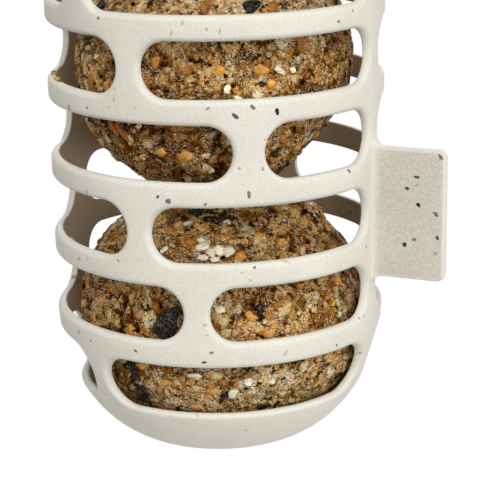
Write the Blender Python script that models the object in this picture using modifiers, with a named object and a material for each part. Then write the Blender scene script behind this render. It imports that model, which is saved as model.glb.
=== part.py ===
"""Hanging fat ball feeder: a slotted cage with a side tab, a domed lid on a wire bail, and three fat balls.

The frame's origin is the centre of the flat under the cage's bowl. +Z runs up the cage's axis and +X out
along the side tab, which lies in the plane where the two halves of the mould meet.
"""

import math

import bmesh
import bpy
from mathutils import Vector
from mathutils.geometry import delaunay_2d_cdt

MM = 0.001

# Fat balls: pressed barrels with domed ends, stacked loosely in the cage, which is made to take them
BALL_RADIUS = 35.5 * MM
BALL_HEIGHT = 62.0 * MM
BALL_SQUARENESS = 2.3
BALL_PLAY = 4.6 * MM
BALL_NAMES = ("fat_ball_lower", "fat_ball_middle", "fat_ball_upper")

# Cage: a bowl with a small flat under it, a slightly flared wall and a rounded rim
WALL = 2.2 * MM
BASE_FLAT_RADIUS = 14.0 * MM
BOWL_HEIGHT = 36.8 * MM
WALL_SPREAD = 1.0 * MM
RIM_BAND = 16.4 * MM

# Slots: rows of rounded openings between rings, split in each half by one bridge
SLOT_ROWS = 9
FIRST_SLOT_BOTTOM = 16.3 * MM
FIRST_SLOT_HEIGHT = 14.4 * MM
SLOT_HEIGHT = 13.8 * MM
RING_HEIGHT = 6.05 * MM
RIB_WIDTH = 6.6 * MM
SLOT_EDGE_ROUND = 1.5 * MM
# Middle of each row's bridge in the front half, in degrees round from the tab, lowest row first
BRIDGE_ANGLES = (-114.0, -73.8, -93.5, -55.5, -95.8, -118.0, -76.0, -100.0, -60.0)
BRIDGE_WIDTHS = (6.0 * MM, 6.6 * MM, 6.6 * MM, 7.9 * MM, 6.6 * MM, 6.6 * MM, 6.6 * MM, 6.6 * MM, 6.6 * MM)

# Side tab: a thin plate on the parting line
TAB_REACH = 18.8 * MM
TAB_HEIGHT = 33.5 * MM
TAB_BOTTOM = 46.3 * MM
TAB_THICKNESS = 2.2 * MM
TAB_CORNER_RADIUS = 2.2 * MM
TAB_ROOT_RADIUS = 2.0 * MM
TAB_EDGE_ROUND = 0.7 * MM

# Wire bail: two legs hooked out through the rim, shoulders and a crown to hang by
WIRE_DIAMETER = 2.5 * MM
LEG_GAP = 1.85 * MM
HOOK_BEND_RADIUS = 3.5 * MM
HOOK_REACH = 3.0 * MM
HOOK_DROP = 11.5 * MM
WIRE_CLEARANCE = 0.35 * MM
SHOULDER_RADIUS = 26.0 * MM
CROWN_RADIUS = 6.0 * MM

# Lid: a domed roof that rests on the rim, with a collar round it, and rides on the bail's legs
LID_EAVE = 4.2 * MM
LID_RISE = 24.0 * MM
LID_WALL = 2.2 * MM
LID_LIP = 1.6 * MM
LID_SEAT_WIDTH = 3.3 * MM
LID_COLLAR_DEPTH = 7.0 * MM
LID_COLLAR_WALL = 1.8 * MM
LID_COLLAR_CLEARANCE = 0.5 * MM
LID_HOLE_CLEARANCE = 0.45 * MM
LID_LIFT = 70.0 * MM
LIFT_MARGIN = 2.0 * MM

# Gap between pieces that rest on each other
SEAT_GAP = 0.3 * MM

# How finely round forms are faceted
CAGE_STEPS = 40
LID_STEPS = 36
BALL_STEPS = 28
BALL_RINGS = 12
BOWL_RINGS = 5
RIM_STEPS = 4
DOME_RINGS = 7
END_STEPS = 3
ROUND_STEPS = 2
BEND_STEPS = 6
HOLE_STEPS = 16
WIRE_STEPS = 2
MERGE = 0.00001

# Places that follow from the sizes above
BOWL_TOP_RADIUS = BALL_RADIUS + BALL_PLAY + WALL
RIM_RADIUS = BOWL_TOP_RADIUS + WALL_SPREAD
FIRST_RING_BOTTOM = FIRST_SLOT_BOTTOM + FIRST_SLOT_HEIGHT
ROW_PITCH = SLOT_HEIGHT + RING_HEIGHT
LAST_SLOT_TOP = FIRST_RING_BOTTOM + (SLOT_ROWS - 1) * ROW_PITCH
CAGE_HEIGHT = LAST_SLOT_TOP + RIM_BAND
WALL_FLARE = WALL_SPREAD / (CAGE_HEIGHT - BOWL_HEIGHT)
HOOK_HEIGHT = CAGE_HEIGHT - HOOK_DROP
WIRE_RADIUS = WIRE_DIAMETER / 2
LEG_RADIUS = RIM_RADIUS - WALL - LEG_GAP - WIRE_RADIUS
LID_SEAT = CAGE_HEIGHT + SEAT_GAP
COLLAR_INSIDE = RIM_RADIUS + LID_COLLAR_CLEARANCE
COLLAR_OUTSIDE = COLLAR_INSIDE + LID_COLLAR_WALL
SEAT_INSIDE = COLLAR_INSIDE - LID_SEAT_WIDTH
LID_UNDER_RADIUS = COLLAR_OUTSIDE + LID_EAVE
LID_RADIUS = LID_UNDER_RADIUS + LID_WALL
FACET = 2.0 * math.pi / CAGE_STEPS
FACET_ANGLES = [FACET * i - math.pi for i in range(CAGE_STEPS + 1)]


def cage_radius(height):
    """Outer radius of the cage at a height: a quarter ellipse up to the bowl's top, then the flared wall."""
    if height >= BOWL_HEIGHT:
        return BOWL_TOP_RADIUS + WALL_FLARE * (height - BOWL_HEIGHT)
    share = (BOWL_HEIGHT - max(height, 0.0)) / BOWL_HEIGHT
    return BASE_FLAT_RADIUS + (BOWL_TOP_RADIUS - BASE_FLAT_RADIUS) * math.sqrt(1.0 - share * share)


def material(name, colour, roughness, metallic=0.0):
    finish = bpy.data.materials.new(name)
    finish.use_nodes = True
    finish.diffuse_color = (*colour, 1.0)
    shader = finish.node_tree.nodes["Principled BSDF"]
    shader.inputs["Base Color"].default_value = (*colour, 1.0)
    shader.inputs["Roughness"].default_value = roughness
    shader.inputs["Metallic"].default_value = metallic
    return finish


def place(piece, collection, finish=None):
    collection.objects.link(piece)
    if finish:
        piece.data.materials.append(finish)
    return piece


def as_tool(piece):
    """Marks a piece that only shapes another one."""
    piece.hide_render = True
    piece.display_type = "WIRE"
    return piece


def turned(name, profile, steps):
    """A body of revolution about Z from (radius, height) points that run down the outer side."""
    mesh = bpy.data.meshes.new(name)
    points = [(radius, 0.0, height) for radius, height in profile]
    mesh.from_pydata(points, [(i, i + 1) for i in range(len(points) - 1)], [])
    piece = bpy.data.objects.new(name, mesh)
    screw = piece.modifiers.new("turn", "SCREW")
    screw.steps = steps
    screw.render_steps = steps
    screw.use_merge_vertices = True
    screw.merge_threshold = MERGE
    screw.use_smooth_shade = True
    return piece


def combine(piece, operation, tool):
    step = piece.modifiers.new(f"{operation.lower()}_{tool.name}", "BOOLEAN")
    step.operation = operation
    step.solver = "EXACT"
    step.object = tool


def mesh_from_curve(curve_object, collection):
    """Replaces a curve object by the closed mesh of its evaluated shape."""
    bpy.context.view_layer.update()
    evaluated = curve_object.evaluated_get(bpy.context.evaluated_depsgraph_get())
    mesh = bpy.data.meshes.new_from_object(evaluated)
    name = curve_object.name
    welded = bmesh.new()
    welded.from_mesh(mesh)
    bmesh.ops.remove_doubles(welded, verts=welded.verts, dist=MERGE)
    welded.to_mesh(mesh)
    welded.free()
    matrix = curve_object.matrix_world.copy()
    bpy.data.objects.remove(curve_object)
    piece = bpy.data.objects.new(name, mesh)
    piece.matrix_world = matrix
    collection.objects.link(piece)
    return piece


def arc(centre, radius, start, end, steps):
    """Points on a circle in a plane, from one angle to another in degrees, both ends included."""
    angles = [math.radians(start + (end - start) * i / steps) for i in range(steps + 1)]
    return [(centre[0] + radius * math.cos(a), centre[1] + radius * math.sin(a)) for a in angles]


def cage_inner_radius(height):
    """Inner radius of the cage at a height, one wall inside the outer form."""
    if height >= BOWL_HEIGHT:
        return cage_radius(height) - WALL
    share = (BOWL_HEIGHT - max(height, WALL)) / (BOWL_HEIGHT - WALL)
    span = BOWL_TOP_RADIUS - WALL - BASE_FLAT_RADIUS
    return BASE_FLAT_RADIUS + span * math.sqrt(1.0 - share * share)


def on_cage(angle, height, depth):
    """A point of the cage's wall: depth 0 lies on the outer face and depth 1 on the inner one."""
    radius = cage_radius(height) + (cage_inner_radius(height) - cage_radius(height)) * depth
    return (radius * math.cos(angle), radius * math.sin(angle), height)


def slot_sizes():
    """Start and end angle, bottom and top of every slot: each row has two in front and two behind."""
    sizes = []
    for row, (bridge, width) in enumerate(zip(BRIDGE_ANGLES[:SLOT_ROWS], BRIDGE_WIDTHS)):
        top = FIRST_RING_BOTTOM + row * ROW_PITCH
        bottom = FIRST_SLOT_BOTTOM if row == 0 else top - SLOT_HEIGHT
        radius = cage_radius((bottom + top) / 2)
        rib = RIB_WIDTH / 2 / radius
        half_bridge = width / 2 / radius
        for turn in (0.0, math.pi):
            middle = math.radians(bridge) + turn
            sizes.append((turn - math.pi + rib, middle - half_bridge, bottom, top))
            sizes.append((middle + half_bridge, turn - rib, bottom, top))
    return sizes


def slot_outline(start, end, bottom, top, spread):
    """Angles and heights round a slot with full-round ends, widened all round by spread."""
    half = (top - bottom) / 2
    middle = (top + bottom) / 2
    radius = cage_radius(middle)
    reach = half + spread
    left = start + half / radius
    right = end - half / radius
    quarter = [math.pi / 2 * i / END_STEPS for i in range(END_STEPS)]
    columns = [a for a in FACET_ANGLES if left + FACET / 3 < a < right - FACET / 3]
    upper = [(left - reach / radius * math.cos(t), reach * math.sin(t)) for t in quarter]
    upper += [(angle, reach) for angle in [left] + columns + [right]]
    upper += [(right + reach / radius * math.cos(t), reach * math.sin(t)) for t in reversed(quarter)]
    lower = [(angle, -height) for angle, height in upper[-2:0:-1]]
    return [(angle, middle + height) for angle, height in upper + lower]


def wall_pattern(low, high):
    """The wall unrolled flat: its slots, the points round its edge and the triangles between them."""
    sizes = slot_sizes()
    outlines = [slot_outline(*size, SLOT_EDGE_ROUND / 2) for size in sizes]
    seam = sorted({(bottom + top) / 2 for _, _, bottom, top in sizes})
    edge = [(angle, low) for angle in FACET_ANGLES]
    edge += [(math.pi, height) for height in seam]
    edge += [(angle, high) for angle in reversed(FACET_ANGLES)]
    edge += [(-math.pi, height) for height in reversed(seam)]
    points = []
    rims = []
    owner = []
    for index, loop in enumerate(outlines + [edge]):
        first = len(points)
        points += [Vector((angle * BOWL_TOP_RADIUS, height)) for angle, height in loop]
        rims += [(first + i, first + (i + 1) % len(loop)) for i in range(len(loop))]
        owner += [index] * len(loop)
    found = delaunay_2d_cdt(points, rims, [], 1, MERGE)
    source = [origin[0] for origin in found[3]]
    triangles = [[source[i] for i in face] for face in found[2]]
    solid = [face for face in triangles if len({owner[i] for i in face}) > 1 or owner[face[0]] == len(sizes)]
    return sizes, edge, solid


def join_rows(shape, rows, closed=True):
    """Lays a band of faces between each row of points and the next."""
    count = len(rows[0])
    for row, next_row in zip(rows, rows[1:]):
        for i in range(count if closed else count - 1):
            j = (i + 1) % count
            shape.faces.new((row[i], row[j], next_row[j], next_row[i]))


def slot_layers():
    """Depth in the wall and widening of a slot's edge, from the rounded outer edge to the inner face."""
    turns = [math.pi / 2 * i / ROUND_STEPS for i in range(ROUND_STEPS, -1, -1)]
    share = SLOT_EDGE_ROUND / WALL
    rounded = [((1.0 - math.sin(t)) * share, (1.0 - math.cos(t)) * SLOT_EDGE_ROUND) for t in turns]
    return rounded + [(1.0, 0.0)]


def cage_mesh():
    """Slotted wall, rounded rim and bowl as one closed skin."""
    low = FIRST_SLOT_BOTTOM - 2 * SLOT_EDGE_ROUND
    high = CAGE_HEIGHT - WALL / 2
    sizes, edge, triangles = wall_pattern(low, high)
    shape = bmesh.new()
    faces = []
    for depth, spread in slot_layers():
        rows = []
        for size in sizes:
            outline = slot_outline(*size, spread)
            rows.append([shape.verts.new(on_cage(angle, height, depth)) for angle, height in outline])
        faces.append(rows)
    for rows in zip(*faces):
        join_rows(shape, rows)
    borders = []
    for depth, layer, order in ((0.0, faces[0], 1), (1.0, faces[-1], -1)):
        border = [shape.verts.new(on_cage(angle, height, depth)) for angle, height in edge]
        corners = [vert for row in layer for vert in row] + border
        for triangle in triangles:
            shape.faces.new([corners[i] for i in triangle[::order]])
        borders.append(border)
    count = len(FACET_ANGLES)
    outer_low, inner_low = (border[:count] for border in borders)
    gap = len(borders[0]) // 2
    outer_high, inner_high = (border[gap:gap + count] for border in borders)
    rim_angles = [edge[gap + i][0] for i in range(count)]
    rim = []
    for reach, height in arc((RIM_RADIUS - WALL / 2, high), WALL / 2, 0, 180, RIM_STEPS)[1:-1]:
        rim.append([shape.verts.new((reach * math.cos(a), reach * math.sin(a), height)) for a in rim_angles])
    join_rows(shape, [outer_high] + rim + [inner_high], closed=False)
    for start, base, top_row in ((0.0, 0.0, outer_low), (1.0, WALL, inner_low)):
        rings = [top_row]
        for i in range(1, BOWL_RINGS + 1):
            share = i / BOWL_RINGS
            height = base + (low - base) * (1.0 - share) ** 2
            rings.append([shape.verts.new(on_cage(angle, height, start)) for angle in FACET_ANGLES])
        join_rows(shape, rings, closed=False)
        bmesh.ops.contextual_create(shape, geom=rings[-1][:-1])
    bmesh.ops.remove_doubles(shape, verts=shape.verts, dist=MERGE)
    bmesh.ops.recalc_face_normals(shape, faces=shape.faces)
    mesh = bpy.data.meshes.new("cage")
    shape.to_mesh(mesh)
    shape.free()
    mesh.shade_smooth()
    mesh.set_sharp_from_angle(angle=math.radians(50))
    return mesh


def tab_tool(collection):
    """The side tab as a plate with rounded outer corners and a small fillet where it leaves the cage."""
    root = cage_radius(TAB_BOTTOM) - WALL / 2
    face = cage_radius(TAB_BOTTOM + TAB_HEIGHT)
    tip = face + TAB_REACH
    bottom = TAB_BOTTOM
    top = TAB_BOTTOM + TAB_HEIGHT
    corner = TAB_CORNER_RADIUS
    fillet = TAB_ROOT_RADIUS
    outline = [(root, bottom - fillet)]
    outline += arc((face + fillet, bottom - fillet), fillet, 180, 90, END_STEPS)
    outline += arc((tip - corner, bottom + corner), corner, -90, 0, END_STEPS)
    outline += arc((tip - corner, top - corner), corner, 0, 90, END_STEPS)
    outline += arc((face + fillet, top + fillet), fillet, 270, 180, END_STEPS)
    outline += [(root, top + fillet)]
    curve = bpy.data.curves.new("side_tab", "CURVE")
    curve.dimensions = "2D"
    curve.fill_mode = "BOTH"
    curve.extrude = TAB_THICKNESS / 2
    spline = curve.splines.new("POLY")
    spline.points.add(len(outline) - 1)
    for point, (reach, height) in zip(spline.points, outline):
        point.co = (reach, height, 0.0, 1.0)
    spline.use_cyclic_u = True
    plate = bpy.data.objects.new("side_tab", curve)
    plate.rotation_euler = (math.pi / 2, 0.0, 0.0)
    collection.objects.link(plate)
    plate = as_tool(mesh_from_curve(plate, collection))
    edge = plate.modifiers.new("edge", "BEVEL")
    edge.width = TAB_EDGE_ROUND
    edge.segments = ROUND_STEPS
    edge.limit_method = "ANGLE"
    edge.angle_limit = math.radians(60)
    return plate


def rod_tool(name, collection, radius, length, location, rotation):
    bpy.ops.mesh.primitive_cylinder_add(
        vertices=HOLE_STEPS, radius=radius, depth=length, location=location, rotation=rotation
    )
    rod = bpy.context.object
    rod.name = name
    for linked in list(rod.users_collection):
        linked.objects.unlink(rod)
    collection.objects.link(rod)
    return as_tool(rod)


def build_cage(parts, tools, finish):
    cage = place(bpy.data.objects.new("cage", cage_mesh()), parts, finish)
    combine(cage, "UNION", tab_tool(tools))
    hole = rod_tool(
        "hook_holes",
        tools,
        WIRE_RADIUS + WIRE_CLEARANCE,
        4.0 * RIM_RADIUS,
        (0.0, 0.0, HOOK_HEIGHT),
        (0.0, math.pi / 2, 0.0),
    )
    combine(cage, "DIFFERENCE", hole)
    return cage


def dome(radius, rise, edge_height, inner_edge, outer_edge):
    """Points of an elliptical dome between two radii, from the inner one outwards."""
    low = math.asin(inner_edge / radius)
    high = math.asin(outer_edge / radius)
    turns = [low + (high - low) * i / DOME_RINGS for i in range(DOME_RINGS + 1)]
    return [(radius * math.sin(t), edge_height + rise * math.cos(t)) for t in turns]


def lid_edge():
    """Height of the roof's edge against the seat, where the seat's ring meets the underside of the dome."""
    share = SEAT_INSIDE / LID_UNDER_RADIUS
    return -(LID_RISE - LID_WALL) * math.sqrt(1.0 - share * share)


def lid_profile():
    """Roof from its crown down to the lip, then the underside with its collar and seat back to the axis.

    Heights are measured from the seat on the rim, where the lid's own origin is.
    """
    edge = lid_edge()
    under_rise = LID_RISE - LID_WALL
    top = dome(LID_RADIUS, LID_RISE, edge, 0.0, LID_RADIUS)
    lip = [(LID_RADIUS, edge - LID_LIP), (LID_UNDER_RADIUS, edge - LID_LIP)]
    eave = dome(LID_UNDER_RADIUS, under_rise, edge, COLLAR_OUTSIDE, LID_UNDER_RADIUS)[::-1]
    collar = [(COLLAR_OUTSIDE, -LID_COLLAR_DEPTH), (COLLAR_INSIDE, -LID_COLLAR_DEPTH), (COLLAR_INSIDE, 0.0)]
    ceiling = dome(LID_UNDER_RADIUS, under_rise, edge, 0.0, SEAT_INSIDE)[::-1]
    return top + lip + eave + collar + ceiling


def build_lid(parts, tools, finish):
    lid = place(turned("lid", lid_profile(), LID_STEPS), parts, finish)
    lid.location = (0.0, 0.0, LID_SEAT)
    for side, name in ((1, "leg_hole_tab_side"), (-1, "leg_hole_far_side")):
        hole = rod_tool(
            name,
            tools,
            WIRE_RADIUS + LID_HOLE_CLEARANCE,
            4.0 * LID_RISE,
            (side * LEG_RADIUS, 0.0, LID_SEAT),
            (0.0, 0.0, 0.0),
        )
        combine(lid, "DIFFERENCE", hole)
    return lid


def bail_route():
    """The wire's centre line on the tab's side, from the hook's tip to the top of the crown."""
    roof = lid_edge() + LID_RISE * math.sqrt(1.0 - (LEG_RADIUS / LID_RADIUS) ** 2)
    leg_top = LID_SEAT + roof + LID_LIFT + LIFT_MARGIN
    tip = (RIM_RADIUS + HOOK_REACH, HOOK_HEIGHT)
    bend_centre = (LEG_RADIUS + HOOK_BEND_RADIUS, HOOK_HEIGHT + HOOK_BEND_RADIUS)
    bend = arc(bend_centre, HOOK_BEND_RADIUS, 270, 180, BEND_STEPS)
    shoulder_centre = LEG_RADIUS - SHOULDER_RADIUS
    shoulder = arc((shoulder_centre, leg_top), SHOULDER_RADIUS, 0, 90, 2 * BEND_STEPS)
    neck = shoulder_centre - CROWN_RADIUS
    crown_height = leg_top + SHOULDER_RADIUS + neck
    turn = arc((shoulder_centre, crown_height), neck, 270, 180, BEND_STEPS)
    crown = arc((0.0, crown_height), CROWN_RADIUS, 0, 90, BEND_STEPS)
    return [tip] + bend + shoulder + turn[1:] + crown[1:]


def build_bail(parts, finish):
    half = bail_route()
    route = half + [(-reach, height) for reach, height in half[-2::-1]]
    curve = bpy.data.curves.new("wire_bail", "CURVE")
    curve.dimensions = "3D"
    curve.bevel_depth = WIRE_RADIUS
    curve.bevel_resolution = WIRE_STEPS
    curve.use_fill_caps = True
    spline = curve.splines.new("POLY")
    spline.points.add(len(route) - 1)
    for point, (reach, height) in zip(spline.points, route):
        point.co = (reach, 0.0, height, 1.0)
    return place(bpy.data.objects.new("wire_bail", curve), parts, finish)


def ball_profile():
    """A barrel with domed ends, between an ellipse and a cylinder."""
    power = 2.0 / BALL_SQUARENESS
    turns = [math.pi / 2 - math.pi * i / BALL_RINGS for i in range(BALL_RINGS + 1)]
    points = []
    for t in turns:
        reach = BALL_RADIUS * max(math.cos(t), 0.0) ** power
        height = BALL_HEIGHT / 2 * math.copysign(abs(math.sin(t)) ** power, math.sin(t))
        points.append((reach, height))
    points[0] = (0.0, BALL_HEIGHT / 2)
    points[-1] = (0.0, -BALL_HEIGHT / 2)
    return points


def build_balls(parts, finish):
    for level, name in enumerate(BALL_NAMES):
        ball = place(turned(name, ball_profile(), BALL_STEPS), parts, finish)
        bottom = WALL + SEAT_GAP + level * (BALL_HEIGHT + SEAT_GAP)
        ball.location = (0.0, 0.0, bottom + BALL_HEIGHT / 2)


for leftover in list(bpy.data.objects):
    bpy.data.objects.remove(leftover)

feeder = bpy.data.collections.new("fat_ball_feeder")
shaping = bpy.data.collections.new("shaping_tools")
bpy.context.scene.collection.children.link(feeder)
bpy.context.scene.collection.children.link(shaping)

speckled_plastic = material("speckled_plastic", (0.72, 0.69, 0.62), 0.55)
steel_wire = material("steel_wire", (0.62, 0.62, 0.61), 0.3, 1.0)
pressed_fat = material("pressed_fat", (0.32, 0.2, 0.09), 0.8)

build_cage(feeder, shaping, speckled_plastic)
build_lid(feeder, shaping, speckled_plastic)
build_bail(feeder, steel_wire)
build_balls(feeder, pressed_fat)
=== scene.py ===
import math

import bmesh
import bpy
import numpy as np
from mathutils import Matrix, Vector, kdtree, noise
from mathutils.geometry import delaunay_2d_cdt


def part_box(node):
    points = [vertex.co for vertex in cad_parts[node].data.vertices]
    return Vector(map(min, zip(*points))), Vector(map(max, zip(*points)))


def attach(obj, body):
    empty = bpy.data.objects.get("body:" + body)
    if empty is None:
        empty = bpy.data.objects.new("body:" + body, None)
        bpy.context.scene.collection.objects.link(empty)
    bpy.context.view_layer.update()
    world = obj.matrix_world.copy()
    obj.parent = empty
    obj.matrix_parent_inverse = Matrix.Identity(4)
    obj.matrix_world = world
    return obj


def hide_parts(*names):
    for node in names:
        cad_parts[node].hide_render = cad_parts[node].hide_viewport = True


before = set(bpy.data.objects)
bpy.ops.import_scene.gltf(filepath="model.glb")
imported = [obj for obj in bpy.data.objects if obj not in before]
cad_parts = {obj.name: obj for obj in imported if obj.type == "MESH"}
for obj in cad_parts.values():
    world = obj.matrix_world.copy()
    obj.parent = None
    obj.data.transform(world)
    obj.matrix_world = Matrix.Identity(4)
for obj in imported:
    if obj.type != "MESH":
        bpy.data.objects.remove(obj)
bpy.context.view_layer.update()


# Cage: one injection moulding in warm off-white plastic with dark flecks in the melt. A bowl carries the
# slotted wall. The mould parts along the two full-height ribs, and a thin tab stands out from one of them.

MM = 0.001
WALL = 2.2 * MM
BASE_FLAT_RADIUS = 14.0 * MM
BOWL_HEIGHT = 36.8 * MM
BOWL_TOP_RADIUS = 42.3 * MM
RIM_RADIUS = 43.3 * MM
RIM_BAND = 16.65 * MM
FIRST_SLOT_BOTTOM = 16.5 * MM
FIRST_SLOT_TOP = 30.0 * MM
SECOND_SLOT_TOP = 50.3 * MM
SLOT_HEIGHT = 13.7 * MM
ROW_PITCH = 19.85 * MM
RIB_WIDTH = 6.6 * MM
BRIDGE_WIDTHS = [width * MM for width in (6.2, 6.6, 6.6, 7.9, 6.6, 6.6, 6.6, 6.6, 6.6)]
BRIDGE_ANGLES = (-115.6, -73.8, -93.5, -55.5, -95.8, -118.0, -76.0, -100.0, -60.0)
CAGE_HEIGHT = SECOND_SLOT_TOP + (len(BRIDGE_ANGLES) - 2) * ROW_PITCH + RIM_BAND
SLOT_EDGE_ROUND = 1.5 * MM
SLOT_INNER_ROUND = 0.35 * MM
SLOT_MARGINS = (1.1 * MM, 1.3 * MM)
EDGE_STEPS = 5
END_STEPS = 10
COLUMN = math.radians(2.5)
COLUMN_COUNT = 144
COLUMN_ANGLES = [COLUMN * i - math.pi for i in range(COLUMN_COUNT + 1)]
SEAM_STEPS = 76
BOWL_RINGS = 14
FLAT_RING_RADIUS = 9.0 * MM
RIM_STEPS = 8
GATE_RADIUS = 2.6 * MM
GATE_DEPTH = 0.35 * MM
HOOK_HEIGHT = 194.4 * MM
HOOK_HOLE_RADIUS = 1.6 * MM


def wall_radius(height):
    """Outer radius of the cage: a quarter ellipse up to the bowl's top, then the slightly flared wall."""
    if height >= BOWL_HEIGHT:
        rise = (height - BOWL_HEIGHT) / (CAGE_HEIGHT - BOWL_HEIGHT)
        return BOWL_TOP_RADIUS + (RIM_RADIUS - BOWL_TOP_RADIUS) * rise
    share = (BOWL_HEIGHT - max(height, 0.0)) / BOWL_HEIGHT
    return BASE_FLAT_RADIUS + (BOWL_TOP_RADIUS - BASE_FLAT_RADIUS) * math.sqrt(1.0 - share * share)


def inner_radius(height):
    """Inner radius of the cage, one wall inside the outer form."""
    if height >= BOWL_HEIGHT:
        return wall_radius(height) - WALL
    share = (BOWL_HEIGHT - max(height, WALL)) / (BOWL_HEIGHT - WALL)
    return BASE_FLAT_RADIUS + (BOWL_TOP_RADIUS - WALL - BASE_FLAT_RADIUS) * math.sqrt(1.0 - share * share)


def on_wall(angle, height, depth):
    """A point in the cage's wall: depth 0 is on the outer face and depth 1 on the inner one."""
    radius = wall_radius(height) + (inner_radius(height) - wall_radius(height)) * depth
    return (radius * math.cos(angle), radius * math.sin(angle), height)


def slot_places():
    """Start and end angle, bottom and top of every slot: each row has two in front and two behind."""
    places = []
    for row, (bridge, width) in enumerate(zip(BRIDGE_ANGLES, BRIDGE_WIDTHS)):
        top = SECOND_SLOT_TOP + (row - 1) * ROW_PITCH if row else FIRST_SLOT_TOP
        bottom = top - SLOT_HEIGHT if row else FIRST_SLOT_BOTTOM
        radius = wall_radius((bottom + top) / 2)
        rib = RIB_WIDTH / 2 / radius
        for turn in (0.0, math.pi):
            middle = math.radians(bridge) + turn
            places.append((turn - math.pi + rib, middle - width / 2 / radius, bottom, top))
            places.append((middle + width / 2 / radius, turn - rib, bottom, top))
    return places


def slot_outline(start, end, bottom, top, spread):
    """Angles and heights round a slot with full-round ends, widened all round by spread."""
    half = (top - bottom) / 2
    middle = (top + bottom) / 2
    radius = wall_radius(middle)
    reach = half + spread
    left = start + half / radius
    right = end - half / radius
    quarter = [math.pi / 2 * i / END_STEPS for i in range(END_STEPS)]
    columns = [a for a in COLUMN_ANGLES if left + COLUMN / 3 < a < right - COLUMN / 3]
    upper = [(left - reach / radius * math.cos(t), reach * math.sin(t)) for t in quarter]
    upper += [(angle, reach) for angle in [left] + columns + [right]]
    upper += [(right + reach / radius * math.cos(t), reach * math.sin(t)) for t in reversed(quarter)]
    lower = [(angle, -height) for angle, height in upper[-2:0:-1]]
    return [(angle, middle + height) for angle, height in upper + lower]


def slot_layers():
    """Depth in the wall and widening of a slot's edge, from the full outer round to the small inner one."""
    turns = [math.pi / 2 * i / EDGE_STEPS for i in range(EDGE_STEPS + 1)]
    outer = SLOT_EDGE_ROUND
    inner = SLOT_INNER_ROUND
    layers = [((1 - math.sin(t)) * outer / WALL, (1 - math.cos(t)) * outer) for t in reversed(turns)]
    layers += [(1 - (1 - math.sin(t)) * inner / WALL, (1 - math.cos(t)) * inner) for t in turns[::2]]
    return layers + [(1.0, inner)]


TAB_BOTTOM = 46.1 * MM
TAB_TOP = 79.6 * MM
TAB_TIP = 61.35 * MM
TAB_HALF_THICKNESS = 1.1 * MM
TAB_CORNER_RADIUS = 2.2 * MM
TAB_EDGE_ROUND = 0.7 * MM
TAB_SIDE_FILLET = 0.65 * MM
TAB_END_FILLET = 2.0 * MM
TAB_FILLET_REACH = 3.0 * MM
TAB_BORDER = 0.8 * MM
TAB_ROWS = 16
TAB_STATIONS = 9
TAB_FILLET_STEPS = 7
TAB_TIP_STEPS = 8


def tab_section(half_thickness, half_height, corner):
    """Points round a section of the tab, across its thickness and up from its middle height."""
    points = []
    signs = ((1, 1), (-1, 1), (-1, -1), (1, -1))
    for number, (side, end) in enumerate(signs):
        centre = (side * (half_thickness - corner), end * (half_height - corner))
        for i in range(EDGE_STEPS):
            t = math.pi / 2 * (number + i / (EDGE_STEPS - 1))
            points.append((centre[0] + corner * math.cos(t), centre[1] + corner * math.sin(t)))
        next_side, next_end = signs[(number + 1) % 4]
        target = (next_side * (half_thickness - corner), next_end * (half_height - corner))
        steps = TAB_ROWS if next_end != end else 2
        first = points[-1]
        offset = (first[0] - centre[0], first[1] - centre[1])
        for i in range(1, steps):
            share = i / steps
            across = centre[0] + (target[0] - centre[0]) * share + offset[0]
            points.append((across, centre[1] + (target[1] - centre[1]) * share + offset[1]))
    return points


def round_off(past, radius):
    """How far a rounded corner falls back where a section lies that far into it."""
    past = min(max(past, 0.0), radius)
    return radius - math.sqrt(radius * radius - past * past)


def tab_loops():
    """Sections of the tab from its footprint on the rib, through the fillet, to the rounded tip."""
    middle = (TAB_TOP + TAB_BOTTOM) / 2
    half_height = (TAB_TOP - TAB_BOTTOM) / 2
    loops = []
    for i in range(TAB_FILLET_STEPS + 1):
        t = math.pi / 2 * i / TAB_FILLET_STEPS
        grow = 1.0 - math.sin(t)
        out = TAB_FILLET_REACH * (1.0 - math.cos(t))
        section = tab_section(
            TAB_HALF_THICKNESS + TAB_SIDE_FILLET * grow, half_height + TAB_END_FILLET * grow, TAB_EDGE_ROUND
        )
        radii = [wall_radius(middle + up) for _, up in section]
        loops.append(
            [(math.sqrt(r * r - y * y) + out, y, middle + up) for r, (y, up) in zip(radii, section)]
        )
    root = wall_radius(TAB_TOP) + TAB_FILLET_REACH
    straight = TAB_TIP - TAB_CORNER_RADIUS
    reaches = [root + (straight - root) * i / TAB_STATIONS for i in range(1, TAB_STATIONS + 1)]
    turns = [math.pi / 2 * i / TAB_TIP_STEPS for i in range(1, TAB_TIP_STEPS + 1)]
    reaches += [straight + TAB_CORNER_RADIUS * math.sin(t) for t in turns]
    for reach in reaches:
        thick = TAB_HALF_THICKNESS - round_off(reach - (TAB_TIP - TAB_EDGE_ROUND), TAB_EDGE_ROUND)
        high = half_height - round_off(reach - straight, TAB_CORNER_RADIUS)
        section = tab_section(thick, high, min(TAB_EDGE_ROUND, thick * 0.98))
        loops.append([(reach, y, middle + up) for y, up in section])
    return loops


def clear_of_slots(angle, height, places, margin):
    """Whether a point of the wall lies further than margin from every slot and from the tab's foot."""
    for start, end, bottom, top in places:
        half = (top - bottom) / 2
        middle = (top + bottom) / 2
        radius = wall_radius(middle)
        past = max(start + half / radius - angle, angle - end + half / radius, 0.0) * radius
        if math.hypot(past, height - middle) < half + margin:
            return False
    foot = TAB_HALF_THICKNESS + TAB_SIDE_FILLET + margin / 2
    beside = abs(angle) * BOWL_TOP_RADIUS < foot
    lowest = TAB_BOTTOM - TAB_END_FILLET - margin
    highest = TAB_TOP + TAB_END_FILLET + margin
    return not (beside and lowest < height < highest)


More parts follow.
